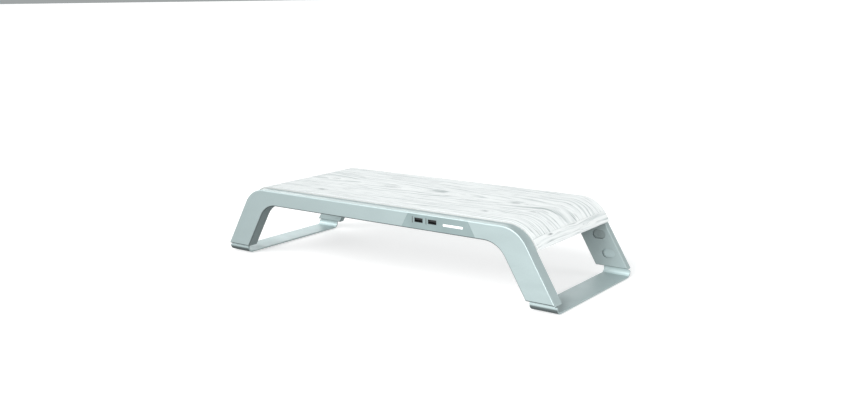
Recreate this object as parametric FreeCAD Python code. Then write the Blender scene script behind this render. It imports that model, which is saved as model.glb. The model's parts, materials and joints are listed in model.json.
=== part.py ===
"""Monitor riser stand.

A board of wood-look laminate on two arched frames, with a two-port USB hub in the front beam.
Each end stands on a U-shaped foot whose two arms slide inside the legs, so the stand has two heights.
A sprung button in each leg releases the foot.

X runs along the stand, Y from front to rear, and Z up from the surface that the stand is on.
The origin is in the middle of its footprint.  Lengths are in millimetres.
"""
import FreeCAD, Part
import math
import os

Vector = FreeCAD.Vector
UP = Vector(0, 0, 1)
REARWARD = Vector(0, 1, 0)

# ---- whole stand ----
DEPTH = 207.4                  # front face to rear face
FRAME_TOP = 101.8              # top of the front beam
BEAM_HEIGHT = 21.4
LEAN = math.radians(30.6)      # legs, from the vertical
SPREAD = math.tan(LEAN)        # sideways run of a leg for each millimetre down
LEG_END_Z = 12.65              # underside of the legs
LEG_OUTER_X = 281.7            # outer tip of a leg, at its end
OUTER_RADIUS = 42.0            # arch corners, outside
INNER_RADIUS = 36.0            # arch corners, inside

# ---- frames ----
WALL = 2.4
FRONT_LEG_WIDTH = 41.3         # along X
REAR_LEG_WIDTH = 47.8
FRONT_FRAME_DEPTH = 16.4       # along Y
REAR_FRAME_DEPTH = 9.7
FRAME_EDGE_RADIUS = 1.6
COVER_THICKNESS = 1.2
COVER_GAP = 0.1                # round the edge of a leg cover
COVER_TOP_Z = 72.0
COVER_INNER_X = 190.0          # a leg cover lies wholly outside this
COVER_EDGE_RADIUS = 0.8

# ---- platform board ----
BOARD_PROUD = 2.8              # above the front frame
BOARD_THICKNESS = 8.0
SKIN_THICKNESS = 0.8
BOARD_END_Z = 73.5             # lower edge of the board's turned-down ends
CREASE_Z = 87.0                # where the end bands meet the top laminate
CREASE_GAP = 0.2
END_SEAM_X = 203.0             # where the flat core meets the bent ends
BOARD_GAP = 0.2                # to the frames
BOARD_EDGE_BEVEL = 0.5

# ---- feet ----
FOOT_INNER_X = 244.4
FOOT_OUTER_X = 282.7
FOOT_SHEET = 2.0
FOOT_OUTER_Y = 100.4           # outer surface of the arms
FOOT_BEND_RADIUS = 8.0         # outside
PAD_THICKNESS = 1.2
PAD_LENGTH = 26.0
PAD_WIDTH = 30.0
PAD_Y = 70.0
PAD_CORNER_RADIUS = 4.0
ARM_SHOULDER_Z = 10.4
ARM_TOP_Z = 69.5
ARM_TOP_RADIUS = 4.0
ARM_SIDE_GAP = 0.5             # arm to leg wall, along X

# ---- latches ----
LATCH_Z = 55.6                 # centre of a button
LATCH_SHIFT = 2.2              # outwards from the arm's centre line
HEIGHT_STEP = 25.0             # between the two height settings
LOCK_HOLE_WIDTH = 18.8
LOCK_HOLE_HEIGHT = 12.0
BUTTON_PLAY = 0.4              # round a button, in the lock hole
BUTTON_RECESS = 0.3            # button face behind the leg cover
BUTTON_THICKNESS = 3.7
BUTTON_EDGE_RADIUS = 0.5
RING_RADIUS = 2.6              # mark on a button's face
RING_WIDTH = 0.5
RING_DEPTH = 0.3
LEAF_THICKNESS = 0.3
LEAF_WIDTH = 10.0
LEAF_ABOVE = 4.0               # leaf spring, above the button's centre
LEAF_BELOW = 21.0
LEAF_PLAY = 0.15
LEAF_RIVET_DROP = 17.5         # below the button's centre, along the leg
LEAF_RIVET_SPREAD = 2.8
WINDOW_PLAY = 0.6              # round a button, in the arm
WINDOW_TAIL = 13.0             # slot under a button that the leaf bends into
RIVET_RADIUS = 1.0
RIVET_HEAD_RADIUS = 1.8
RIVET_HEAD_HEIGHT = 0.8

# ---- rails and screws ----
RAIL_X = 150.0
RAIL_WIDTH = 30.0
RAIL_SHEET = 1.5
RAIL_FOOT_REACH = 101.0        # end of a rail's foot plates, from the middle
RAIL_FOOT_OVERLAP = 12.0       # length of a foot plate inside the channel
RAIL_GAP = 0.3                 # channel's ends to the frames
FRONT_RAIL_SCREW_Y = -93.0
REAR_RAIL_SCREW_Y = 98.1
BOARD_SCREW_Y = 45.0
SCREW_RADIUS = 1.5
SCREW_LENGTH = 6.0
HUB_SCREW_RADIUS = 1.0
HUB_SCREW_LENGTH = 3.0
SCREW_FIT = 0.02               # round a shank

# ---- USB hub ----
BEZEL_TOP_LEFT = 62.6
BEZEL_TOP_RIGHT = 157.0
BEZEL_SLANT = 10.8             # sideways run of its ends, from top to bottom
BEZEL_MARGIN = 1.2             # above and below it, on the beam's face
BEZEL_SKIN = 1.2
BEZEL_PLAY = 0.1
WINDOW_LEFT = 63.5
WINDOW_RIGHT = 130.0
WINDOW_MARGIN = 3.2            # above and below the opening behind the bezel
PORT_X = (80.1, 101.9)
PORT_Z = 93.0
PORT_OPENING_WIDTH = 12.5
PORT_OPENING_HEIGHT = 5.1
PORT_SHELL = 0.3
PORT_LENGTH = 12.0
PORT_RECESS = 0.3              # shell behind the bezel's face
PORT_PLAY = 0.15
INSULATOR_LENGTH = 2.5
TONGUE_WIDTH = 11.1
TONGUE_THICKNESS = 1.84
TONGUE_LENGTH = 8.4
TONGUE_LIFT = 0.2              # tongue's underside above the port's middle
CONTACT_OFFSETS = (-3.5, -1.0, 1.0, 3.5)
CONTACT_WIDTH = 1.0
CONTACT_THICKNESS = 0.15
CONTACT_LENGTH = 6.5
MARK_LEAD = 9.9                # printed mark, left of its port's centre
MARK_WIDTH = 1.4
MARK_HEIGHT = 8.4
PLATE_BAR_X = 134.0
PLATE_BAR_Z = 91.3
PLATE_BAR_LENGTH = 31.0
PLATE_BAR_HEIGHT = 3.0
PRINT_DEPTH = 0.2
HOUSING_LEFT = 70.0
HOUSING_RIGHT = 122.0
HOUSING_BOTTOM_Z = 84.0
HOUSING_TOP_Z = 98.2
HOUSING_BACK_Y = -87.6
HOUSING_WALL = 1.2
RIB_WIDTH = 2.5
EAR_LENGTH = 12.0
EAR_SCREW_REACH = 4.0
CIRCUIT_BOARD_THICKNESS = 1.6
CIRCUIT_BOARD_GAP = 0.3
CHIP_SIZE = 6.0
CHIP_HEIGHT = 1.0
INLET_X = 114.2
INLET_WIDTH = 7.5
INLET_HEIGHT = 2.6
INLET_LENGTH = 5.6
INLET_TONGUE_WIDTH = 5.4
INLET_TONGUE_THICKNESS = 0.7

# ---- worked out from the above ----
FRONT_Y = -DEPTH / 2
REAR_Y = DEPTH / 2
BOARD_FRONT_Y = FRONT_Y + FRONT_FRAME_DEPTH + BOARD_GAP
BOARD_REAR_Y = REAR_Y - BOARD_GAP
BOARD_SUNK = BOARD_THICKNESS - BOARD_PROUD
SKIN_UNDERSIDE = SKIN_THICKNESS - BOARD_PROUD
REAR_STEP = BOARD_SUNK + BOARD_GAP
COVER_Y = REAR_Y - REAR_FRAME_DEPTH
ARM_INNER_Y = FOOT_OUTER_Y - FOOT_SHEET
BUTTON_FACE_Y = COVER_Y + COVER_THICKNESS + BUTTON_RECESS
LEAF_Y = ARM_INNER_Y - LEAF_THICKNESS
BEND_TOP_Z = PAD_THICKNESS + FOOT_BEND_RADIUS
BEAM_BOTTOM_Z = FRAME_TOP - BEAM_HEIGHT
BEAM_FLOOR_Z = BEAM_BOTTOM_Z + WALL
BOARD_UNDERSIDE_Z = FRAME_TOP - BOARD_SUNK
RAIL_WEB_Z = BOARD_UNDERSIDE_Z - RAIL_SHEET
PORT_FRONT_Y = FRONT_Y + PORT_RECESS
PORT_UNDERSIDE_Z = PORT_Z - PORT_OPENING_HEIGHT / 2 - PORT_SHELL
CIRCUIT_BOARD_Z = PORT_UNDERSIDE_Z - CIRCUIT_BOARD_THICKNESS
HOUSING_FRONT_Y = FRONT_Y + WALL


# ---- lines of the legs ----

def outer_x(z, inset=0.0):
    """Outer line of a leg at height z, moved in at right angles by inset."""
    return LEG_OUTER_X - SPREAD * (z - LEG_END_Z) - inset / math.cos(LEAN)


def inner_x(z, leg_width, inset=0.0):
    """Inner line of a leg at height z, moved towards the leg's middle by inset."""
    return outer_x(z) - leg_width + inset / math.cos(LEAN)


def arm_inner_x(z):
    return inner_x(z, FRONT_LEG_WIDTH, WALL) + ARM_SIDE_GAP


def arm_outer_x(z):
    return outer_x(z, WALL) - ARM_SIDE_GAP


def latch_x(z):
    """Centre of a right lock hole at height z."""
    return (arm_inner_x(z) + arm_outer_x(z)) / 2 + LATCH_SHIFT


# ---- shapes ----

def corner_arc(before, corner, after, radius):
    """Start, middle and end of the arc that rounds a corner."""
    to_before = (before - corner).normalize()
    to_after = (after - corner).normalize()
    half = to_before.getAngle(to_after) / 2
    reach = radius / math.tan(half)
    bisector = (to_before + to_after).normalize()
    middle = corner + bisector * (radius / math.sin(half) - radius)
    return corner + to_before * reach, middle, corner + to_after * reach


def rounded_face(corners):
    """Face inside a loop of (point, radius) corners."""
    edges = []
    stops = []
    for i, (point, radius) in enumerate(corners):
        before = corners[i - 1][0]
        after = corners[(i + 1) % len(corners)][0]
        if radius:
            start, middle, end = corner_arc(before, point, after, radius)
            edges.append(Part.Arc(start, middle, end).toShape())
            stops.append((start, end))
        else:
            stops.append((point, point))
    for i, (start, end) in enumerate(stops):
        next_start = stops[(i + 1) % len(stops)][0]
        if end.distanceToPoint(next_start) > 1e-6:
            edges.append(Part.LineSegment(end, next_start).toShape())
    return Part.Face(Part.Wire(Part.__sortEdges__(edges)))


def prism_xz(corners, y0, y1):
    """Prism between y0 and y1 on an outline of (x, z, radius) corners."""
    face = rounded_face([(Vector(x, y0, z), radius) for x, z, radius in corners])
    return face.extrude(Vector(0, y1 - y0, 0))


def prism_yz(corners, x0, x1):
    """Prism between x0 and x1 on an outline of (y, z, radius) corners."""
    face = rounded_face([(Vector(x0, y, z), radius) for y, z, radius in corners])
    return face.extrude(Vector(x1 - x0, 0, 0))


def block(x0, x1, y0, y1, z0, z1):
    return Part.makeBox(x1 - x0, y1 - y0, z1 - z0, Vector(x0, y0, z0))


def centred_block(x, z, width, height, y0, y1):
    return block(x - width / 2, x + width / 2, y0, y1, z - height / 2, z + height / 2)


def oval(x, z, width, height, y0, y1):
    """Lying oval with round ends, between y0 and y1."""
    radius = height / 2
    left = Vector(x - width / 2 + radius, y0, z)
    right = Vector(x + width / 2 - radius, y0, z)
    rise = Vector(0, 0, radius)
    run = Vector(radius, 0, 0)
    wire = Part.Wire([
        Part.LineSegment(left - rise, right - rise).toShape(),
        Part.Arc(right - rise, right + run, right + rise).toShape(),
        Part.LineSegment(right + rise, left + rise).toShape(),
        Part.Arc(left + rise, left - run, left - rise).toShape(),
    ])
    return Part.Face(wire).extrude(Vector(0, y1 - y0, 0))


def rod(radius, start, direction, length):
    return Part.makeCylinder(radius, length, start, direction)


def edge_middle(edge):
    return edge.valueAt((edge.FirstParameter + edge.LastParameter) / 2)


def soften(shape, radius, chosen):
    """Round the edges of a shape that chosen picks out."""
    return shape.makeFillet(radius, [edge for edge in shape.Edges if chosen(edge)])


def lies_on_y(edge, y):
    return abs(edge_middle(edge).y - y) < 1e-4 and all(abs(v.Point.y - y) < 1e-4 for v in edge.Vertexes)


def on_leg(shape, z):
    """Turn a shape made upright at the origin to the right leg's lean, at a lock hole's height z."""
    placed = shape.copy()
    placed.rotate(Vector(0, 0, 0), REARWARD, -math.degrees(LEAN))
    placed.translate(Vector(latch_x(z), 0, z))
    return placed


def to_left(shape):
    return shape.mirror(Vector(0, 0, 0), Vector(1, 0, 0))


def to_front(shape):
    return shape.mirror(Vector(0, 0, 0), REARWARD)


def cut_all(shape, tools):
    for tool in tools:
        shape = shape.cut(tool)
    return shape


def screw(seat, direction, radius, length):
    """Pan-head screw: the head bears on seat and the shank runs along direction."""
    head_height = radius * 1.1
    head_start = seat - direction * head_height
    body = rod(radius * 1.9, head_start, direction, head_height).fuse(rod(radius, seat, direction, length))
    return body.cut(rod(radius * 0.7, head_start, direction, head_height * 0.6))


def screw_holes(seats, direction, radius, length):
    return [rod(radius + SCREW_FIT, seat, direction, length + SCREW_FIT) for seat in seats]


# ---- frames ----

def mirrored_loop(right_half):
    """Closed outline from the corners of its right half."""
    return right_half + [(-x, z, radius) for x, z, radius in reversed(right_half)]


def frame_outline(leg_width, board_step, inset, end_z):
    """Arch outline.  Above the board's ends it steps in by board_step, to carry the board."""
    floor_z = BEAM_BOTTOM_Z + inset
    top_z = FRAME_TOP - board_step - inset
    step = board_step + inset
    right_half = [
        (inner_x(floor_z, leg_width, inset), floor_z, INNER_RADIUS + inset),
        (inner_x(end_z, leg_width, inset), end_z, 0),
        (outer_x(end_z, inset), end_z, 0),
    ]
    if board_step:
        shelf_z = BOARD_END_Z - BOARD_GAP - inset
        right_half.append((outer_x(shelf_z, inset), shelf_z, 0))
        right_half.append((outer_x(shelf_z, step), shelf_z, 0))
    right_half.append((outer_x(top_z, step), top_z, OUTER_RADIUS - step))
    return mirrored_loop(right_half)


def frame_shell(leg_width, board_step, face_y, open_y):
    """Arch with a plate at face_y and a flange all round it, open at open_y and under the legs."""
    inward = math.copysign(1, open_y - face_y)
    body = prism_xz(frame_outline(leg_width, board_step, 0.0, LEG_END_Z), face_y, open_y)
    body = soften(body, FRAME_EDGE_RADIUS, lambda edge: lies_on_y(edge, face_y))
    cavity_outline = frame_outline(leg_width, board_step, WALL, LEG_END_Z - WALL)
    return body.cut(prism_xz(cavity_outline, face_y + inward * WALL, open_y + inward))


def bezel_outline(play):
    """Outline of the hub's bezel, slanted at its ends, smaller all round by play."""
    top_z = FRAME_TOP - BEZEL_MARGIN - play
    bottom_z = BEAM_BOTTOM_Z + BEZEL_MARGIN + play
    return [
        (BEZEL_TOP_LEFT - BEZEL_SLANT + play, bottom_z, 0),
        (BEZEL_TOP_RIGHT + BEZEL_SLANT - play, bottom_z, 0),
        (BEZEL_TOP_RIGHT - play, top_z, 0),
        (BEZEL_TOP_LEFT + play, top_z, 0),
    ]


def bezel_window(play, y0, y1):
    """Opening in the beam's plate behind the bezel, smaller all round by play."""
    return block(WINDOW_LEFT + play, WINDOW_RIGHT - play, y0, y1,
                 BEAM_BOTTOM_Z + WINDOW_MARGIN + play, FRAME_TOP - WINDOW_MARGIN - play)


def rail_screw_seats():
    return [Vector(side * RAIL_X, y, BEAM_BOTTOM_Z)
            for side in (-1, 1) for y in (FRONT_RAIL_SCREW_Y, REAR_RAIL_SCREW_Y)]


def rail_screw_holes():
    return screw_holes(rail_screw_seats(), UP, SCREW_RADIUS, SCREW_LENGTH)


def leg_end(leg_width, board_step, inset, thickness, top_z):
    """Right leg below top_z, thickness deep from COVER_Y, with its outline moved in by inset."""
    outline = frame_outline(leg_width, board_step, inset, LEG_END_Z)
    kept = block(COVER_INNER_X, LEG_OUTER_X, COVER_Y, COVER_Y + thickness, LEG_END_Z, top_z)
    return prism_xz(outline, COVER_Y, COVER_Y + thickness).common(kept)


def front_frame():
    frame = frame_shell(FRONT_LEG_WIDTH, 0.0, FRONT_Y, FRONT_Y + FRONT_FRAME_DEPTH)
    recess = prism_xz(bezel_outline(0.0), FRONT_Y - 1, FRONT_Y + BEZEL_SKIN)
    window = bezel_window(0.0, FRONT_Y, FRONT_Y + WALL + 1)
    return cut_all(frame, [recess, window] + rail_screw_holes())


def rear_frame():
    frame = frame_shell(REAR_LEG_WIDTH, REAR_STEP, REAR_Y, COVER_Y)
    seat = leg_end(REAR_LEG_WIDTH, REAR_STEP, 0.0, COVER_THICKNESS + COVER_GAP, COVER_TOP_Z + COVER_GAP)
    return cut_all(frame, [seat, to_left(seat)] + rail_screw_holes())


def lock_holes():
    """The holes of the two height settings in a right rear leg cover."""
    return [oval(latch_x(z), z, LOCK_HOLE_WIDTH, LOCK_HOLE_HEIGHT, COVER_Y - 1, COVER_Y + WALL)
            for z in (LATCH_Z, LATCH_Z - HEIGHT_STEP)]


def rear_leg_cover():
    """Plate as wide as the right rear leg, set into its front."""
    plate = leg_end(REAR_LEG_WIDTH, REAR_STEP, 0.0, COVER_THICKNESS, COVER_TOP_Z)
    plate = soften(plate, COVER_EDGE_RADIUS, lambda edge: lies_on_y(edge, COVER_Y))
    return cut_all(plate, lock_holes())


def front_leg_cover():
    """Plate between the walls of the right front leg."""
    plate = leg_end(FRONT_LEG_WIDTH, 0.0, WALL + COVER_GAP, COVER_THICKNESS, COVER_TOP_Z)
    return to_front(cut_all(plate, lock_holes()))


# ---- platform ----

def board_block(depth):
    """Solid down to the board's ends, below the line that lies depth inside the front frame's outside."""
    top_z = FRAME_TOP - depth
    outline = mirrored_loop([
        (outer_x(BOARD_END_Z, depth), BOARD_END_Z, 0),
        (outer_x(top_z, depth), top_z, OUTER_RADIUS - depth),
    ])
    return prism_xz(outline, BOARD_FRONT_Y, BOARD_REAR_Y)


def board_screw_seats():
    return [Vector(side * RAIL_X, end * BOARD_SCREW_Y, RAIL_WEB_Z) for side in (-1, 1) for end in (-1, 1)]


def board_screw_holes():
    return screw_holes(board_screw_seats(), UP, SCREW_RADIUS, SCREW_LENGTH)


def platform_cores():
    """The flat core and the bent end core at the right."""
    whole = cut_all(board_block(SKIN_UNDERSIDE), [board_block(BOARD_SUNK)] + board_screw_holes())
    reach = LEG_OUTER_X
    flat = whole.common(block(-END_SEAM_X, END_SEAM_X, -reach, reach, 0, FRAME_TOP * 2))
    return flat, whole.common(block(END_SEAM_X, reach, -reach, reach, 0, FRAME_TOP * 2))


def is_board_edge(edge):
    at_an_end = lies_on_y(edge, BOARD_FRONT_Y) or lies_on_y(edge, BOARD_REAR_Y)
    return at_an_end and edge_middle(edge).z > BOARD_END_Z + 1


def platform_skins():
    """The laminate over the top, and the band over the board's turned-down right end."""
    outside = board_block(-BOARD_PROUD)
    outside = outside.makeChamfer(BOARD_EDGE_BEVEL, [edge for edge in outside.Edges if is_board_edge(edge)])
    skin = outside.cut(board_block(SKIN_UNDERSIDE))
    reach = LEG_OUTER_X
    top = skin.common(block(-reach, reach, -reach, reach, CREASE_Z + CREASE_GAP / 2, FRAME_TOP * 2))
    right_band = skin.common(block(0, reach, -reach, reach, 0, CREASE_Z - CREASE_GAP / 2))
    return top, right_band


def right_rail():
    """Channel under the board, open below, with a foot plate at each end that lies in a beam."""
    x0, x1 = RAIL_X - RAIL_WIDTH / 2, RAIL_X + RAIL_WIDTH / 2
    y0 = FRONT_Y + FRONT_FRAME_DEPTH + RAIL_GAP
    y1 = COVER_Y - RAIL_GAP
    rail = block(x0, x1, y0, y1, BEAM_FLOOR_Z, BOARD_UNDERSIDE_Z)
    rail = rail.cut(block(x0 + RAIL_SHEET, x1 - RAIL_SHEET, y0, y1, BEAM_FLOOR_Z, RAIL_WEB_Z))
    floor = (BEAM_FLOOR_Z, BEAM_FLOOR_Z + RAIL_SHEET)
    rail = rail.fuse(block(x0, x1, -RAIL_FOOT_REACH, y0 + RAIL_FOOT_OVERLAP, *floor))
    rail = rail.fuse(block(x0, x1, y1 - RAIL_FOOT_OVERLAP, RAIL_FOOT_REACH, *floor))
    return cut_all(rail.removeSplitter(), rail_screw_holes() + board_screw_holes())


def screws(seats, direction, radius, length):
    return Part.makeCompound([screw(seat, direction, radius, length) for seat in seats])


# ---- feet ----

def foot_strip():
    """Floor strip of the right foot, with the bends at its two ends."""
    floor_z = PAD_THICKNESS
    inner_floor_z = floor_z + FOOT_SHEET
    inner_radius = FOOT_BEND_RADIUS - FOOT_SHEET
    return prism_yz([
        (-FOOT_OUTER_Y, BEND_TOP_Z, 0),
        (-FOOT_OUTER_Y, floor_z, FOOT_BEND_RADIUS),
        (FOOT_OUTER_Y, floor_z, FOOT_BEND_RADIUS),
        (FOOT_OUTER_Y, BEND_TOP_Z, 0),
        (ARM_INNER_Y, BEND_TOP_Z, 0),
        (ARM_INNER_Y, inner_floor_z, inner_radius),
        (-ARM_INNER_Y, inner_floor_z, inner_radius),
        (-ARM_INNER_Y, BEND_TOP_Z, 0),
    ], FOOT_INNER_X, FOOT_OUTER_X)


def button_outline(play):
    """Size of a button and of what it moves in, play being the room round the button."""
    return LOCK_HOLE_WIDTH - 2 * BUTTON_PLAY + 2 * play, LOCK_HOLE_HEIGHT - 2 * BUTTON_PLAY + 2 * play


def leaf_rivet_seats():
    """Where the rivets of a right rear latch meet the arm, upright at the origin."""
    return [Vector(side * LEAF_RIVET_SPREAD, LEAF_Y, -LEAF_RIVET_DROP) for side in (-1, 1)]


def leaf_rivet_holes():
    holes = [rod(RIVET_RADIUS + SCREW_FIT, seat, REARWARD, FOOT_OUTER_Y) for seat in leaf_rivet_seats()]
    return [on_leg(hole, LATCH_Z) for hole in holes]


def rear_arm():
    """Right rear arm: a neck that fits the legs, on a shoulder as wide as the floor strip."""
    side_run = SPREAD * (ARM_SHOULDER_Z - BEND_TOP_Z)
    arm = prism_xz([
        (FOOT_INNER_X, BEND_TOP_Z, 0),
        (FOOT_OUTER_X, BEND_TOP_Z, 0),
        (FOOT_OUTER_X - side_run, ARM_SHOULDER_Z, 0),
        (arm_outer_x(ARM_SHOULDER_Z), ARM_SHOULDER_Z, 0),
        (arm_outer_x(ARM_TOP_Z), ARM_TOP_Z, ARM_TOP_RADIUS),
        (arm_inner_x(ARM_TOP_Z), ARM_TOP_Z, ARM_TOP_RADIUS),
        (arm_inner_x(ARM_SHOULDER_Z), ARM_SHOULDER_Z, 0),
        (FOOT_INNER_X - side_run, ARM_SHOULDER_Z, 0),
    ], ARM_INNER_Y, FOOT_OUTER_Y)
    width, height = button_outline(WINDOW_PLAY)
    button_window = oval(latch_x(LATCH_Z), LATCH_Z, width, height, ARM_INNER_Y - 1, FOOT_OUTER_Y + 1)
    half = LEAF_WIDTH / 2 + BUTTON_PLAY
    leaf_slot = on_leg(block(-half, half, ARM_INNER_Y - 1, FOOT_OUTER_Y + 1, -WINDOW_TAIL, 0), LATCH_Z)
    return cut_all(arm, [button_window, leaf_slot] + leaf_rivet_holes())


def right_foot():
    arm = rear_arm()
    return foot_strip().fuse([arm, to_front(arm)]).removeSplitter()


def right_foot_pads():
    middle_x = (FOOT_INNER_X + FOOT_OUTER_X) / 2
    pads = []
    for y in (-PAD_Y, PAD_Y):
        pad = block(middle_x - PAD_WIDTH / 2, middle_x + PAD_WIDTH / 2,
                    y - PAD_LENGTH / 2, y + PAD_LENGTH / 2, 0, PAD_THICKNESS)
        upright = [edge for edge in pad.Edges if abs(edge.tangentAt(edge.FirstParameter).z) > 0.9]
        pads.append(pad.makeFillet(PAD_CORNER_RADIUS, upright))
    return Part.makeCompound(pads)


def button():
    """Right rear button, slotted from below for the end of its leaf spring."""
    x = latch_x(LATCH_Z)
    width, height = button_outline(0.0)
    body = oval(x, LATCH_Z, width, height, BUTTON_FACE_Y, BUTTON_FACE_Y + BUTTON_THICKNESS)
    body = soften(body, BUTTON_EDGE_RADIUS, lambda edge: lies_on_y(edge, BUTTON_FACE_Y))
    half = LEAF_WIDTH / 2 + LEAF_PLAY
    slot = on_leg(block(-half, half, LEAF_Y - LEAF_PLAY, ARM_INNER_Y + LEAF_PLAY,
                        -LOCK_HOLE_WIDTH, LEAF_ABOVE + LEAF_PLAY), LATCH_Z)
    ring_start = Vector(x, BUTTON_FACE_Y - 1, LATCH_Z)
    ring = rod(RING_RADIUS, ring_start, REARWARD, 1 + RING_DEPTH)
    ring = ring.cut(rod(RING_RADIUS - RING_WIDTH, ring_start, REARWARD, 1 + RING_DEPTH))
    return cut_all(body, [slot, ring])


def leaf_spring():
    leaf = block(-LEAF_WIDTH / 2, LEAF_WIDTH / 2, LEAF_Y, ARM_INNER_Y, -LEAF_BELOW, LEAF_ABOVE)
    return cut_all(on_leg(leaf, LATCH_Z), leaf_rivet_holes())


def rear_leaf_rivets():
    """The two rivets of the right rear latch."""
    rivets = []
    for seat in leaf_rivet_seats():
        head = rod(RIVET_HEAD_RADIUS, seat - REARWARD * RIVET_HEAD_HEIGHT, REARWARD, RIVET_HEAD_HEIGHT)
        shank = rod(RIVET_RADIUS, seat, REARWARD, FOOT_OUTER_Y - LEAF_Y)
        rivets.append(on_leg(head.fuse(shank).removeSplitter(), LATCH_Z))
    return rivets


# ---- USB hub ----

def ear_screw_seats():
    seat_y = HOUSING_FRONT_Y + HOUSING_WALL
    z = (HOUSING_BOTTOM_Z + HOUSING_TOP_Z) / 2
    return [Vector(x, seat_y, z) for x in (HOUSING_LEFT - EAR_SCREW_REACH, HOUSING_RIGHT + EAR_SCREW_REACH)]


def ear_screw_holes():
    return screw_holes(ear_screw_seats(), REARWARD * -1, HUB_SCREW_RADIUS, HUB_SCREW_LENGTH)


def printed_mark(x, depth, start_y):
    return centred_block(x - MARK_LEAD, PORT_Z, MARK_WIDTH, MARK_HEIGHT, start_y, FRONT_Y + depth)


def plate_bar(start_y):
    return oval(PLATE_BAR_X, PLATE_BAR_Z, PLATE_BAR_LENGTH, PLATE_BAR_HEIGHT, start_y, FRONT_Y + PRINT_DEPTH)


def hub_bezel():
    """Flush plate in the beam's face, with a step behind it that fills the beam's opening."""
    bezel = prism_xz(bezel_outline(BEZEL_PLAY), FRONT_Y, FRONT_Y + BEZEL_SKIN)
    bezel = bezel.fuse(bezel_window(BEZEL_PLAY, FRONT_Y + BEZEL_SKIN, HOUSING_FRONT_Y)).removeSplitter()
    grow = 2 * (PORT_SHELL + PORT_PLAY)
    openings = [centred_block(x, PORT_Z, PORT_OPENING_WIDTH + grow, PORT_OPENING_HEIGHT + grow,
                              FRONT_Y - 1, HOUSING_FRONT_Y + 1) for x in PORT_X]
    marks = [printed_mark(x, PRINT_DEPTH, FRONT_Y - 1) for x in PORT_X]
    return cut_all(bezel, openings + marks + [plate_bar(FRONT_Y - 1)] + ear_screw_holes())


def port_shell(x):
    """Sheet-metal tube of a USB-A port, closed at the back."""
    outside = centred_block(x, PORT_Z, PORT_OPENING_WIDTH + 2 * PORT_SHELL,
                            PORT_OPENING_HEIGHT + 2 * PORT_SHELL, PORT_FRONT_Y, PORT_FRONT_Y + PORT_LENGTH)
    inside = centred_block(x, PORT_Z, PORT_OPENING_WIDTH, PORT_OPENING_HEIGHT,
                           PORT_FRONT_Y - 1, PORT_FRONT_Y + PORT_LENGTH - PORT_SHELL)
    return outside.cut(inside)


def port_insulator(x):
    """Plastic block at the back of a port, with the tongue that carries the contacts."""
    back_y = PORT_FRONT_Y + PORT_LENGTH - PORT_SHELL
    root_y = back_y - INSULATOR_LENGTH
    root = centred_block(x, PORT_Z, PORT_OPENING_WIDTH, PORT_OPENING_HEIGHT, root_y, back_y)
    tongue_z = PORT_Z + TONGUE_LIFT + TONGUE_THICKNESS / 2
    tongue = centred_block(x, tongue_z, TONGUE_WIDTH, TONGUE_THICKNESS, root_y - TONGUE_LENGTH, root_y)
    return root.fuse(tongue).removeSplitter()


def port_contacts():
    root_y = PORT_FRONT_Y + PORT_LENGTH - PORT_SHELL - INSULATOR_LENGTH
    z = PORT_Z + TONGUE_LIFT - CONTACT_THICKNESS / 2
    return Part.makeCompound([
        centred_block(x + offset, z, CONTACT_WIDTH, CONTACT_THICKNESS, root_y - CONTACT_LENGTH, root_y)
        for x in PORT_X for offset in CONTACT_OFFSETS
    ])


def inlet_outline(grow, y0, y1):
    z = CIRCUIT_BOARD_Z + CIRCUIT_BOARD_THICKNESS + PORT_SHELL + INLET_HEIGHT / 2
    return centred_block(INLET_X, z, INLET_WIDTH + 2 * grow, INLET_HEIGHT + 2 * grow, y0, y1)


def inlet_shell():
    """Socket at the back of the hub for the lead from the computer."""
    start_y = HOUSING_BACK_Y - INLET_LENGTH
    outside = inlet_outline(PORT_SHELL, start_y, HOUSING_BACK_Y)
    return outside.cut(inlet_outline(0.0, start_y + PORT_SHELL, HOUSING_BACK_Y + 1))


def inlet_tongue():
    start_y = HOUSING_BACK_Y - INLET_LENGTH + PORT_SHELL
    z = CIRCUIT_BOARD_Z + CIRCUIT_BOARD_THICKNESS + PORT_SHELL + INLET_HEIGHT / 2
    return centred_block(INLET_X, z, INLET_TONGUE_WIDTH, INLET_TONGUE_THICKNESS,
                         start_y, HOUSING_BACK_Y - INLET_LENGTH / 4)


def hub_housing():
    """Box behind the beam's plate, open towards the bezel, with an ear at each side."""
    box = block(HOUSING_LEFT, HOUSING_RIGHT, HOUSING_FRONT_Y, HOUSING_BACK_Y, HOUSING_BOTTOM_Z, HOUSING_TOP_Z)
    left, right = HOUSING_LEFT + HOUSING_WALL, HOUSING_RIGHT - HOUSING_WALL
    bottom, top = HOUSING_BOTTOM_Z + HOUSING_WALL, HOUSING_TOP_Z - HOUSING_WALL
    back = HOUSING_BACK_Y - HOUSING_WALL
    box = box.cut(block(left, right, HOUSING_FRONT_Y, back, bottom, top))
    for x0, x1 in ((left, left + RIB_WIDTH), (right - RIB_WIDTH, right)):
        box = box.fuse(block(x0, x1, HOUSING_FRONT_Y + 1, back, bottom, CIRCUIT_BOARD_Z))
    ears = block(HOUSING_LEFT - EAR_LENGTH, HOUSING_RIGHT + EAR_LENGTH,
                 HOUSING_FRONT_Y, HOUSING_FRONT_Y + HOUSING_WALL, HOUSING_BOTTOM_Z, HOUSING_TOP_Z)
    ears = ears.cut(block(left, right, HOUSING_FRONT_Y, HOUSING_BACK_Y, bottom, top))
    inlet_hole = inlet_outline(PORT_SHELL + PORT_PLAY, back - 1, HOUSING_BACK_Y + 1)
    return cut_all(box.fuse(ears).removeSplitter(), [inlet_hole] + ear_screw_holes())


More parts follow.
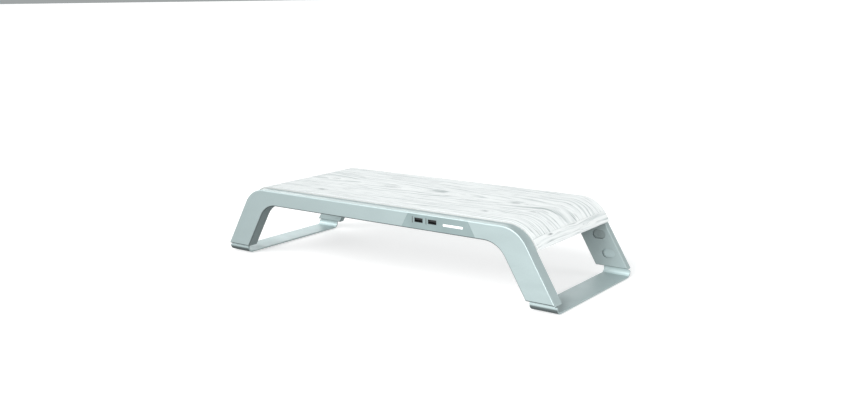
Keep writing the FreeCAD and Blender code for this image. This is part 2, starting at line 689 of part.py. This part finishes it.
def hub_circuit_board():
    gap = HOUSING_WALL + CIRCUIT_BOARD_GAP
    return block(HOUSING_LEFT + gap, HOUSING_RIGHT - gap,
                 HOUSING_FRONT_Y + CIRCUIT_BOARD_GAP, HOUSING_BACK_Y - gap,
                 CIRCUIT_BOARD_Z, CIRCUIT_BOARD_Z + CIRCUIT_BOARD_THICKNESS)


def hub_chip():
    x = sum(PORT_X) / 2
    y = (HOUSING_FRONT_Y + HOUSING_BACK_Y) / 2
    top_z = CIRCUIT_BOARD_Z + CIRCUIT_BOARD_THICKNESS
    return block(x - CHIP_SIZE / 2, x + CHIP_SIZE / 2, y - CHIP_SIZE / 2, y + CHIP_SIZE / 2,
                 top_z, top_z + CHIP_HEIGHT)


# ---- the nodes ----

def frame_nodes():
    rear_cover = rear_leg_cover()
    front_cover = front_leg_cover()
    return {
        "front_frame": front_frame(),
        "rear_frame": rear_frame(),
        "front_right_leg_cover": front_cover,
        "front_left_leg_cover": to_left(front_cover),
        "rear_right_leg_cover": rear_cover,
        "rear_left_leg_cover": to_left(rear_cover),
    }


def platform_nodes():
    flat_core, right_core = platform_cores()
    top, right_band = platform_skins()
    rail = right_rail()
    return {
        "platform_core": flat_core,
        "right_end_core": right_core,
        "left_end_core": to_left(right_core),
        "platform_top_laminate": top,
        "right_end_band": right_band,
        "left_end_band": to_left(right_band),
        "right_cross_rail": rail,
        "left_cross_rail": to_left(rail),
        "rail_screws": screws(rail_screw_seats(), UP, SCREW_RADIUS, SCREW_LENGTH),
        "board_screws": screws(board_screw_seats(), UP, SCREW_RADIUS, SCREW_LENGTH),
    }


def foot_nodes():
    foot = right_foot()
    pads = right_foot_pads()
    rear_rivets = rear_leaf_rivets()
    rivets = Part.makeCompound(rear_rivets + [to_front(rivet) for rivet in rear_rivets])
    nodes = {
        "right_foot": foot,
        "left_foot": to_left(foot),
        "right_foot_pads": pads,
        "left_foot_pads": to_left(pads),
        "right_leaf_rivets": rivets,
        "left_leaf_rivets": to_left(rivets),
    }
    for name, shape in (("button", button()), ("leaf_spring", leaf_spring())):
        nodes["rear_right_" + name] = shape
        nodes["rear_left_" + name] = to_left(shape)
        nodes["front_right_" + name] = to_front(shape)
        nodes["front_left_" + name] = to_left(to_front(shape))
    return nodes


def hub_nodes():
    print_back = FRONT_Y + BEZEL_PLAY / 2
    return {
        "hub_bezel": hub_bezel(),
        "port_marks": Part.makeCompound([printed_mark(x, PRINT_DEPTH, print_back) for x in PORT_X]),
        "bezel_bar": plate_bar(print_back),
        "hub_housing": hub_housing(),
        "hub_circuit_board": hub_circuit_board(),
        "hub_chip": hub_chip(),
        "left_port_shell": port_shell(PORT_X[0]),
        "right_port_shell": port_shell(PORT_X[1]),
        "left_port_insulator": port_insulator(PORT_X[0]),
        "right_port_insulator": port_insulator(PORT_X[1]),
        "port_contacts": port_contacts(),
        "inlet_shell": inlet_shell(),
        "inlet_tongue": inlet_tongue(),
        "hub_screws": screws(ear_screw_seats(), REARWARD * -1, HUB_SCREW_RADIUS, HUB_SCREW_LENGTH),
    }


def main():
    os.makedirs("parts", exist_ok=True)
    nodes = {**frame_nodes(), **platform_nodes(), **foot_nodes(), **hub_nodes()}
    for name, shape in nodes.items():
        shape.exportStep(f"parts/{name}.step")


main()
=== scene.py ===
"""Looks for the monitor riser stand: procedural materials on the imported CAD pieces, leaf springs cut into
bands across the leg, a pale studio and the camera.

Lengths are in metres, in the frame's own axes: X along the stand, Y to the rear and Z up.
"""

import json
import math

import bmesh
import bpy
from mathutils import Matrix, Vector


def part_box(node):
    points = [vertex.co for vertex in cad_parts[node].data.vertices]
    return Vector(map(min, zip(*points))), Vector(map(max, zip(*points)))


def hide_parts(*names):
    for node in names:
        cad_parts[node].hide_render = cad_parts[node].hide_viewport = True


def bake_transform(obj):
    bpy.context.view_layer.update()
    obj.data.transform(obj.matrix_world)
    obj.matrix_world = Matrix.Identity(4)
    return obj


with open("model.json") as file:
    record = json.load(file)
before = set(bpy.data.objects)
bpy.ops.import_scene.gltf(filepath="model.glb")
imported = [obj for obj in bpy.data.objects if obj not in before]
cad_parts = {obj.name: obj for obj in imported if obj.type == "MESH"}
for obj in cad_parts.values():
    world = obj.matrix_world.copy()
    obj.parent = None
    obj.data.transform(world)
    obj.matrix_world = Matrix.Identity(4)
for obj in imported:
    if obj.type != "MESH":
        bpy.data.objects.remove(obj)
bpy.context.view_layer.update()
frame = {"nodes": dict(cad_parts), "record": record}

MM = 0.001
WHITE = (1.0, 1.0, 1.0)
COOL_WHITE = (0.95, 1.0, 1.01)


# ---- material nodes ----

class Graph:
    """The nodes of one material.  A value is a number, a colour or another node's output."""

    def __init__(self, name):
        self.material = bpy.data.materials.new(name)
        self.material.use_nodes = True
        self.tree = self.material.node_tree
        self.shader = self.tree.nodes["Principled BSDF"]
        self.place = self.tree.nodes.new("ShaderNodeTexCoord").outputs["Object"]

    def node(self, kind, **settings):
        made = self.tree.nodes.new(kind)
        for name, value in settings.items():
            setattr(made, name, value)
        return made

    def feed(self, socket, value):
        if isinstance(value, bpy.types.NodeSocket):
            self.tree.links.new(value, socket)
        elif isinstance(value, tuple) and len(value) == 3 and len(socket.default_value) == 4:
            socket.default_value = (*value, 1.0)
        else:
            socket.default_value = value

    def math(self, operation, *values):
        made = self.node("ShaderNodeMath", operation=operation)
        for socket, value in zip(made.inputs, values):
            self.feed(socket, value)
        return made.outputs[0]

    def add(self, first, *others):
        for other in others:
            first = self.math("ADD", first, other)
        return first

    def times(self, first, *others):
        for other in others:
            first = self.math("MULTIPLY", first, other)
        return first

    def axes(self, vector=None):
        made = self.node("ShaderNodeSeparateXYZ")
        self.feed(made.inputs[0], vector or self.place)
        return made.outputs

    def vector(self, x, y, z):
        made = self.node("ShaderNodeCombineXYZ")
        for socket, value in zip(made.inputs, (x, y, z)):
            self.feed(socket, value)
        return made.outputs[0]

    def noise(self, per_metre, detail=2.0, roughness=0.5, vector=None):
        """Noise from 0 to 1.  per_metre is its scale along X, Y and Z, or one number for all three."""
        scales = per_metre if isinstance(per_metre, tuple) else (per_metre,) * 3
        stretched = self.node("ShaderNodeVectorMath", operation="MULTIPLY")
        self.feed(stretched.inputs[0], vector or self.place)
        stretched.inputs[1].default_value = scales
        made = self.node("ShaderNodeTexNoise")
        made.inputs["Scale"].default_value = 1.0
        made.inputs["Detail"].default_value = detail
        made.inputs["Roughness"].default_value = roughness
        self.tree.links.new(stretched.outputs[0], made.inputs["Vector"])
        return made.outputs[0]

    def between(self, value, low, high, to_low=0.0, to_high=1.0):
        """value carried from low..high to to_low..to_high, and held at the ends."""
        made = self.node("ShaderNodeMapRange", clamp=True)
        for socket, number in zip(made.inputs, (value, low, high, to_low, to_high)):
            self.feed(socket, number)
        return made.outputs[0]

    def mix(self, share, first, second):
        made = self.node("ShaderNodeMix", data_type="RGBA")
        self.feed(made.inputs["Factor"], share)
        colours = [socket for socket in made.inputs if socket.type == "RGBA"]
        self.feed(colours[0], first)
        self.feed(colours[1], second)
        return next(socket for socket in made.outputs if socket.type == "RGBA")

    def facing(self):
        """X, Y and Z of the surface's own direction."""
        return self.axes(self.node("ShaderNodeNewGeometry").outputs["Normal"])

    def bump(self, height, depth, strength):
        made = self.node("ShaderNodeBump")
        made.inputs["Strength"].default_value = strength
        made.inputs["Distance"].default_value = depth
        self.tree.links.new(height, made.inputs["Height"])
        return made.outputs["Normal"]

    def finish(self, colour, roughness, normal, metallic=0.0, **sockets):
        self.feed(self.shader.inputs["Base Color"], colour)
        self.feed(self.shader.inputs["Roughness"], roughness)
        self.feed(self.shader.inputs["Normal"], normal)
        self.shader.inputs["Metallic"].default_value = metallic
        for name, value in sockets.items():
            self.shader.inputs[name.replace("_", " ")].default_value = value
        return self.material


def scaled(colour, factor):
    return tuple(min(channel * factor, 1.0) for channel in colour)


# Painted light on rounded front edges: how strongly a painted highlight on upper edges and painted shade on
# lower and side edges take over the paint, and to what multiple of its own colour.
PAINTED_HIGHLIGHT_SHARE = 0.8
PAINTED_HIGHLIGHT_TONE = 1.45
PAINTED_LOWER_SHADE_SHARE = 0.9
PAINTED_LOWER_SHADE_TONE = 0.2
PAINTED_SIDE_SHADE_SHARE = 0.7
PAINTED_SIDE_SHADE_TONE = 0.5


def paint(name, colour, roughness, gloss=0.5):
    """Satin metallic paint: fine flake, faint orange peel and handling marks.

    A painted highlight makes it lighter where a front edge is rounded upwards, and painted shade makes it
    darker where rounded downwards or sideways.
    """
    graph = Graph(name)
    flake = graph.noise(2600.0, detail=1.0)
    cloud = graph.noise(9.0, detail=3.0)
    tone = graph.mix(graph.between(flake, 0.35, 0.65), scaled(colour, 0.955), scaled(colour, 1.04))
    tone = graph.mix(graph.between(cloud, 0.3, 0.7, 0.0, 0.35), tone, scaled(colour, 0.94))
    facing_x, facing_y, facing_z = graph.facing()
    forward = graph.between(facing_y, -0.3, -0.1, 1.0, 0.0)
    # painted highlight on front edges rounded upwards, and painted shade on those rounded downwards
    painted_highlight = graph.times(forward, graph.between(facing_z, 0.3, 0.6))
    painted_lower_shade = graph.times(forward, graph.between(facing_z, -0.25, -0.04, 1.0, 0.0))
    tone = graph.mix(graph.times(painted_highlight, PAINTED_HIGHLIGHT_SHARE), tone, scaled(colour, PAINTED_HIGHLIGHT_TONE))
    tone = graph.mix(graph.times(painted_lower_shade, PAINTED_LOWER_SHADE_SHARE), tone, scaled(colour, PAINTED_LOWER_SHADE_TONE))
    # painted shade on front edges rounded sideways
    painted_side_shade = graph.times(forward, graph.between(graph.math("ABSOLUTE", facing_x), 0.25, 0.55))
    tone = graph.mix(graph.times(painted_side_shade, PAINTED_SIDE_SHADE_SHARE), tone, scaled(colour, PAINTED_SIDE_SHADE_TONE))
    smear = graph.noise((30.0, 55.0, 90.0), detail=4.0, roughness=0.6)
    peel = graph.noise(900.0, detail=2.0)
    height = graph.add(peel, graph.times(flake, 0.25))
    return graph.finish(
        tone,
        graph.between(smear, 0.3, 0.7, roughness - 0.05, roughness + 0.06),
        graph.bump(height, 0.02 * MM, 0.5),
        metallic=0.3,
        Specular_IOR_Level=gloss,
    )


def moulded(name, colour, roughness, grain_per_metre=1400.0, grain_depth=0.03 * MM):
    """Moulded plastic with a fine spark-eroded texture."""
    graph = Graph(name)
    grain = graph.noise(grain_per_metre, detail=3.0, roughness=0.6)
    cloud = graph.noise(40.0, detail=2.0)
    tone = graph.mix(graph.between(cloud, 0.3, 0.7), scaled(colour, 0.93), scaled(colour, 1.05))
    return graph.finish(
        tone,
        graph.between(grain, 0.3, 0.7, roughness - 0.06, roughness + 0.06),
        graph.bump(grain, grain_depth, 0.6),
    )


# Rolling marks for each metre along X, Y and Z, by the axis that they run along.
ROLLING_MARKS = {"Y": (1500.0, 25.0, 1500.0), "Z": (1500.0, 1500.0, 25.0)}


def rolled_steel(name, colour, roughness, along="Y"):
    """Plated sheet steel with rolling marks along one axis."""
    graph = Graph(name)
    brushed = graph.noise(ROLLING_MARKS[along], detail=3.0)
    spangle = graph.noise(130.0, detail=2.0, roughness=0.4)
    tone = graph.mix(graph.between(spangle, 0.35, 0.65), scaled(colour, 0.9), scaled(colour, 1.08))
    return graph.finish(
        tone,
        graph.between(brushed, 0.3, 0.7, roughness - 0.08, roughness + 0.08),
        graph.bump(brushed, 0.01 * MM, 0.5),
        metallic=1.0,
    )


def rubber(name):
    """Black rubber with a little dust on it."""
    graph = Graph(name)
    grain = graph.noise(1800.0, detail=3.0)
    dust = graph.noise(120.0, detail=4.0, roughness=0.65)
    tone = graph.mix(graph.between(dust, 0.5, 0.75, 0.0, 0.5), (0.028, 0.028, 0.029), (0.085, 0.084, 0.08))
    return graph.finish(tone, graph.between(dust, 0.3, 0.7, 0.72, 0.9), graph.bump(grain, 0.06 * MM, 0.7))


def circuit_green(name):
    """Solder mask over tracks."""
    graph = Graph(name)
    tracks = graph.node("ShaderNodeTexBrick")
    graph.feed(tracks.inputs["Vector"], graph.place)
    tracks.inputs["Scale"].default_value = 420.0
    lines = tracks.outputs["Fac"]
    tone = graph.mix(lines, (0.012, 0.105, 0.045), (0.03, 0.2, 0.085))
    return graph.finish(tone, graph.between(lines, 0.0, 1.0, 0.28, 0.36), graph.bump(lines, 0.02 * MM, 0.6))


# ---- wood laminate ----

PALE_WOOD = (0.768, 0.788, 0.784)
GRAIN_GREY = (0.315, 0.36, 0.362)
KNOT_GREY = (0.19, 0.215, 0.22)
# painted shade laid on the wood's faces turned to the front
PAINTED_FRONT_SHADE_GREY = (0.36, 0.385, 0.385)
BOARD_TOP_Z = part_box("platform_top_laminate")[1].z
RING_SPACING = 6.2 * MM
HEART_LINE = 14 * MM            # place across the board of the log's middle, which runs along the grain
GRAIN_WANDER = 26 * MM          # whole width that the grain strays over from side to side
HEART_RIPPLE = 9 * MM           # whole height that the log's middle strays over
KNOT_PUSH = -1.7                # shift of the grain near a knot, times its distance across from the knot
EYE_TIGHTNESS = -6.0            # exponent of a knot's dark middle, where -1 is that of its push

# How strongly each kind of mark colours the wood, from 0 to 1.
LATE_WOOD_SHARE = 0.85
STREAK_SHARE = 0.5
FIBRE_SHARE = 0.22
PORE_SHARE = 0.42
CRACK_SHARE = 0.95
# painted shade on faces turned to the front
PAINTED_FRONT_SHADE_SHARE = 0.85

# How deep the grain is, and how much of that depth each kind of mark takes.
GRAIN_DEPTH = 0.06 * MM
LATE_WOOD_DEPTH = 0.35
FIBRE_DEPTH = 0.6
PORE_DEPTH = 0.8


def knot_distance(graph, along, across, knot):
    """Bell-shaped nearness to a knot, the offset across the grain from it, and its squared distance."""
    centre_along, centre_across, length, width = (value * MM for value in knot)
    run = graph.times(graph.add(along, -centre_along), 1 / length)
    offset = graph.add(across, -centre_across)
    rise = graph.times(offset, 1 / width)
    squared = graph.add(graph.times(run, run), graph.times(rise, rise))
    return graph.math("EXPONENT", graph.times(squared, -1.0)), offset, squared


def laminate(name, grain_axis, knots, heart_depth, heart_slope):
    """White-washed plain-sawn wood, with painted shade greying the faces turned to the front.

    grain_axis is "X" for the top, whose grain goes on down the bends, or "Y" for the bands at the ends.
    knots are (place along the grain, place across it, length, width) in millimetres.
    The growth rings' middle lies heart_depth under the middle of the board and sinks by heart_slope.
    """
    graph = Graph(name)
    x, y, z = graph.axes()
    if grain_axis == "X":
        drop = graph.add(BOARD_TOP_Z, graph.times(z, -1.0))
        along = graph.add(x, graph.times(graph.math("SIGN", x), drop))
        across = y
    else:
        along = y
        across = graph.add(z, graph.times(graph.math("ABSOLUTE", x), -0.5))
    plan = graph.vector(along, across, 0.0)

    wander = graph.noise((5.5, 26.0, 1.0), detail=3.0, roughness=0.45, vector=plan)
    bent = graph.add(across, graph.times(graph.add(wander, -0.5), GRAIN_WANDER))
    eyes = []
    for knot in knots:
        nearness, offset, squared = knot_distance(graph, along, across, knot)
        bent = graph.add(bent, graph.times(nearness, offset, KNOT_PUSH))
        eyes.append(graph.math("EXPONENT", graph.times(squared, EYE_TIGHTNESS)))

    depth = graph.add(heart_depth, graph.times(along, heart_slope))
    ripple = graph.noise((9.0, 3.0, 1.0), detail=2.0, vector=plan)
    depth = graph.add(depth, graph.times(graph.add(ripple, -0.5), HEART_RIPPLE))
    side = graph.add(bent, -HEART_LINE)
    radius = graph.math("SQRT", graph.add(graph.times(side, side), graph.times(depth, depth)))
    ring = graph.math("FRACT", graph.times(radius, 1 / RING_SPACING))
    darkening = graph.between(ring, 0.45, 0.84)
    ending = graph.between(ring, 0.88, 0.98, 1.0, 0.0)
    late_wood = graph.times(darkening, ending)

    ring_plan = graph.vector(along, bent, 0.0)
    patches = graph.noise((7.0, 60.0, 1.0), detail=3.0, vector=ring_plan)
    presence = graph.between(patches, 0.44, 0.64, 0.1, 0.8)
    fibre = graph.noise((16.0, 900.0, 1.0), detail=2.0, roughness=0.6, vector=ring_plan)
    streak = graph.noise((7.0, 380.0, 1.0), detail=3.0, roughness=0.6, vector=ring_plan)
    pores = graph.noise((26.0, 420.0, 1.0), detail=2.0, vector=ring_plan)
    pore = graph.between(pores, 0.6, 0.66)

    grey = graph.times(late_wood, presence, LATE_WOOD_SHARE)
    grey = graph.add(grey, graph.times(graph.between(streak, 0.54, 0.66), STREAK_SHARE))
    grey = graph.add(grey, graph.times(graph.between(fibre, 0.48, 0.72), FIBRE_SHARE))
    colour = graph.mix(graph.math("MINIMUM", grey, 1.0), PALE_WOOD, GRAIN_GREY)
    colour = graph.mix(graph.times(pore, PORE_SHARE), colour, KNOT_GREY)
    cracks = graph.noise((30.0, 620.0, 1.0), detail=3.0, vector=ring_plan)
    crack = graph.between(cracks, 0.48, 0.53)
    for eye in eyes:
        colour = graph.mix(graph.times(eye, crack, CRACK_SHARE), colour, KNOT_GREY)

    facing_y = graph.facing()[1]
    # painted shade on faces turned to the front
    painted_front_shade = graph.between(facing_y, -0.9, -0.3, PAINTED_FRONT_SHADE_SHARE, 0.0)
    colour = graph.mix(painted_front_shade, colour, PAINTED_FRONT_SHADE_GREY)

    height = graph.times(late_wood, presence, -LATE_WOOD_DEPTH)
    height = graph.add(height, graph.times(fibre, -FIBRE_DEPTH), graph.times(pore, -PORE_DEPTH))
    return graph.finish(
        colour,
        graph.between(grey, 0.0, 0.6, 0.6, 0.74),
        graph.bump(height, GRAIN_DEPTH, 0.55),
        Specular_IOR_Level=0.2,
    )


def fibreboard(name):
    """Sealed pale grey fibreboard, slightly fibrous."""
    graph = Graph(name)
    fibre = graph.noise((500.0, 500.0, 1500.0), detail=4.0, roughness=0.65)
    cloud = graph.noise(25.0, detail=3.0)
    tone = graph.mix(graph.between(fibre, 0.35, 0.7), (0.42, 0.435, 0.43), (0.33, 0.34, 0.335))
    tone = graph.mix(graph.between(cloud, 0.3, 0.7, 0.0, 0.3), tone, (0.36, 0.37, 0.365))
    return graph.finish(tone, graph.between(fibre, 0.3, 0.7, 0.6, 0.75), graph.bump(fibre, 0.05 * MM, 0.6))


# ---- materials by the record's slots ----

# Knots: place along the grain, place across it, length and width, in millimetres.
TOP_KNOTS = (
    (-52, 8, 30, 6), (22, 21, 24, 7), (62, 17, 20, 6), (152, -54, 16, 9),
    (158, 9, 20, 6), (-165, 18, 18, 7), (-128, -60, 14, 6), (205, -26, 16, 6),
)
BAND_KNOTS = ((-46, -36, 16, 3.2), (38, -41, 12, 2.6))

SILVER = (0.358, 0.43, 0.432)
FOOT_SILVER = (0.43, 0.518, 0.522)
GALVANISED = (0.55, 0.56, 0.57)
ZINC = (0.6, 0.6, 0.61)
SPRING_GREY = (0.4, 0.41, 0.43)
NICKEL = (0.2, 0.205, 0.21)
GOLD = (0.55, 0.42, 0.2)
BUTTON_GREY = (0.25, 0.3, 0.3)
BEZEL_GREY = (0.205, 0.26, 0.262)
MARK_GREY = (0.09, 0.1, 0.1)
BAR_WHITE = (0.88, 0.89, 0.89)
HUB_BLACK = (0.01, 0.0105, 0.011)
CHIP_BLACK = (0.018, 0.018, 0.019)

materials = {
    "frame_paint": paint("silver_paint", SILVER, roughness=0.42),
    "foot_paint": paint("foot_paint", FOOT_SILVER, roughness=0.5, gloss=0.3),
    "board_laminate": laminate("white_washed_wood", "X", TOP_KNOTS, heart_depth=0.034, heart_slope=0.085),
    "band_laminate": laminate("white_washed_band", "Y", BAND_KNOTS, heart_depth=0.05, heart_slope=0.02),
    "board_core": fibreboard("sealed_fibreboard"),
    "rail_steel": rolled_steel("galvanised_rail", GALVANISED, roughness=0.42),
    "fastener_steel": rolled_steel("plated_fastener", ZINC, roughness=0.35, along="Z"),
    "spring_steel": rolled_steel("spring_steel", SPRING_GREY, roughness=0.32, along="Z"),
    "button_plastic": moulded("button_plastic", BUTTON_GREY, roughness=0.45),
    "pad_rubber": rubber("pad_rubber"),
    "bezel_plastic": moulded(
        "bezel_plastic", BEZEL_GREY, roughness=0.42, grain_per_metre=1700.0, grain_depth=0.02 * MM,
    ),
    "mark_print": moulded(
        "mark_print", MARK_GREY, roughness=0.5, grain_per_metre=2500.0, grain_depth=0.01 * MM,
    ),
    "bar_print": moulded(
        "bar_print", BAR_WHITE, roughness=0.5, grain_per_metre=2500.0, grain_depth=0.01 * MM,
    ),
    "hub_plastic": moulded("black_plastic", HUB_BLACK, roughness=0.6),
    "circuit_board": circuit_green("solder_mask"),
    "chip_black": moulded("chip_black", CHIP_BLACK, roughness=0.55, grain_per_metre=2200.0),
    "port_metal": rolled_steel("nickel_sheet", NICKEL, roughness=0.4),
    "contact_metal": rolled_steel("gold_contact", GOLD, roughness=0.3),
}

for subpart in frame["record"]["subparts"]:
    for material_slot in frame["nodes"][subpart["node"]].material_slots:
        material_slot.material = materials[subpart["material_slot"]]


# ---- leaf springs, cut into bands across the leg ----

LEG_LEAN = math.radians(30.6)   # from upright
LEAF_HELD = -4.4 * MM           # along the leg from a leaf's middle: lower end of the slot it bends into
LEAF_LIFTED = 0.4 * MM          # and the place from which it goes with its button
LEAF_STEPS = 10


def make_bending_leaf(end, side):
    """Copy of a leaf spring, riveted to the foot with its free end at the button, cut into bands across the
    leg between the two places above and given spring steel; the imported leaf is hidden.
    """
    node = f"{end}_{side}_leaf_spring"
    low, high = (Vector(corner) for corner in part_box(node))
    middle = (low + high) / 2
    inward = -1 if side == "right" else 1
    up = Vector((inward * math.sin(LEG_LEAN), 0, math.cos(LEG_LEAN)))
    held, lifted = (middle + up * reach for reach in (LEAF_HELD, LEAF_LIFTED))
    shape = bmesh.new()
    shape.from_mesh(frame["nodes"][node].data)
    for step in range(LEAF_STEPS + 1):
        parts = shape.verts[:] + shape.edges[:] + shape.faces[:]
        place = held.lerp(lifted, step / LEAF_STEPS)
        bmesh.ops.bisect_plane(shape, geom=parts, plane_co=place, plane_no=up)
    mesh = bpy.data.meshes.new(f"{end}_{side}_bending_leaf")
    shape.to_mesh(mesh)
    shape.free()
    mesh.materials.clear()
    mesh.materials.append(materials["spring_steel"])
    leaf = bpy.data.objects.new(mesh.name, mesh)
    bpy.context.collection.objects.link(leaf)
    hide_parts(node)
    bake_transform(leaf)


for leaf_end in ("front", "rear"):
    for leaf_side in ("left", "right"):
        make_bending_leaf(leaf_end, leaf_side)


# ---- studio ----

FLOOR_REACH = 600.0             # far enough for the floor's edge to lie at the horizon


def make_floor():
    """Pale light table.  Its glow softens the stand's shadow, without lighting the stand or showing in it."""
    graph = Graph("studio_floor")
    speckle = graph.noise(60.0, detail=3.0)
    tone = graph.mix(speckle, (0.59, 0.59, 0.59), (0.61, 0.61, 0.61))
    material = graph.finish(
        tone,
        0.85,
        graph.bump(speckle, 0.02 * MM, 0.2),
        Emission_Color=(*WHITE, 1.0),
        Emission_Strength=0.5,
    )
    mesh = bpy.data.meshes.new("floor")
    corners = [(x * FLOOR_REACH, y * FLOOR_REACH, 0) for x, y in ((-1, -1), (1, -1), (1, 1), (-1, 1))]
    mesh.from_pydata(corners, [], [(0, 1, 2, 3)])
    mesh.materials.append(material)
    floor = bpy.data.objects.new("floor", mesh)
    floor.visible_diffuse = False
    floor.visible_glossy = False
    bpy.context.collection.objects.link(floor)


def place_light(data, place, target):
    """Adds a lamp at place that shines at target and that the camera doesn't see."""
    light = bpy.data.objects.new(data.name, data)
    light.location = place
    light.rotation_euler = (Vector(target) - Vector(place)).to_track_quat("-Z", "Y").to_euler()
    light.visible_camera = False
    bpy.context.collection.objects.link(light)


def make_softbox(name, place, target, width, height, watts):
    """Rectangular lamp at place, turned to target."""
    data = bpy.data.lights.new(name, "AREA")
    data.shape = "RECTANGLE"
    data.size = width
    data.size_y = height
    data.energy = watts
    place_light(data, place, target)


def make_wide_light(name, place, spread, strength):
    """Even light over the whole floor, from the direction of place.  spread is its angle in degrees."""
    data = bpy.data.lights.new(name, "SUN")
    data.angle = math.radians(spread)
    data.energy = strength
    place_light(data, place, (0, 0, 0))


GROUND_ENDS = -0.15             # height of a direction, from -1 straight down to 1 straight up
SKY_STARTS = 0.05


def make_world(above, below):
    """Even sky and an even, dimmer ground, with a soft change between them at the horizon."""
    world = bpy.data.worlds.new("studio")
    world.use_nodes = True
    nodes, links = world.node_tree.nodes, world.node_tree.links
    height = nodes.new("ShaderNodeSeparateXYZ")
    links.new(nodes.new("ShaderNodeTexCoord").outputs["Generated"], height.inputs[0])
    strength = nodes.new("ShaderNodeMapRange")
    for socket, number in zip(list(strength.inputs)[1:5], (GROUND_ENDS, SKY_STARTS, below, above)):
        socket.default_value = number
    links.new(height.outputs["Z"], strength.inputs["Value"])
    background = nodes["Background"]
    background.inputs["Color"].default_value = (*COOL_WHITE, 1.0)
    links.new(strength.outputs[0], background.inputs["Strength"])
    bpy.context.scene.world = world


def make_camera():
    """The view of the stand from the front right, a little above it."""
    place = Vector((0.8211, -1.0757, 0.3725))
    target = Vector((0.0026, 0.0259, 0.0809))
    roll = math.radians(-0.727)
    data = bpy.data.cameras.new("camera")
    data.lens = 40.755
    data.clip_start = 0.05
    camera = bpy.data.objects.new("camera", data)
    turn = (target - place).to_track_quat("-Z", "Y").to_matrix() @ Matrix.Rotation(roll, 3, "Z")
    camera.matrix_world = Matrix.Translation(place) @ turn.to_4x4()
    bpy.context.collection.objects.link(camera)
    bpy.context.scene.camera = camera


bpy.context.scene.view_settings.view_transform = "Standard"
make_floor()
make_world(above=0.42, below=0.23)
make_wide_light("front_key", (-0.5, -2.0, 1.45), spread=50, strength=2.85)
make_softbox("front_right", (0.5, -0.85, 0.2), (0.28, -0.1, 0.05), width=0.5, height=0.3, watts=4.5)
make_softbox("front_low", (0.35, -1.6, 0.3), (0.1, 0, 0.05), width=1.2, height=0.5, watts=10.0)
make_softbox("back_right", (1.7, 0.5, 0.3), (0.28, 0, 0.05), width=0.8, height=0.5, watts=14)
make_softbox("back_left", (-1.9, 2.0, 1.0), (0, 0, 0.08), width=2.4, height=1.0, watts=24)
make_camera()
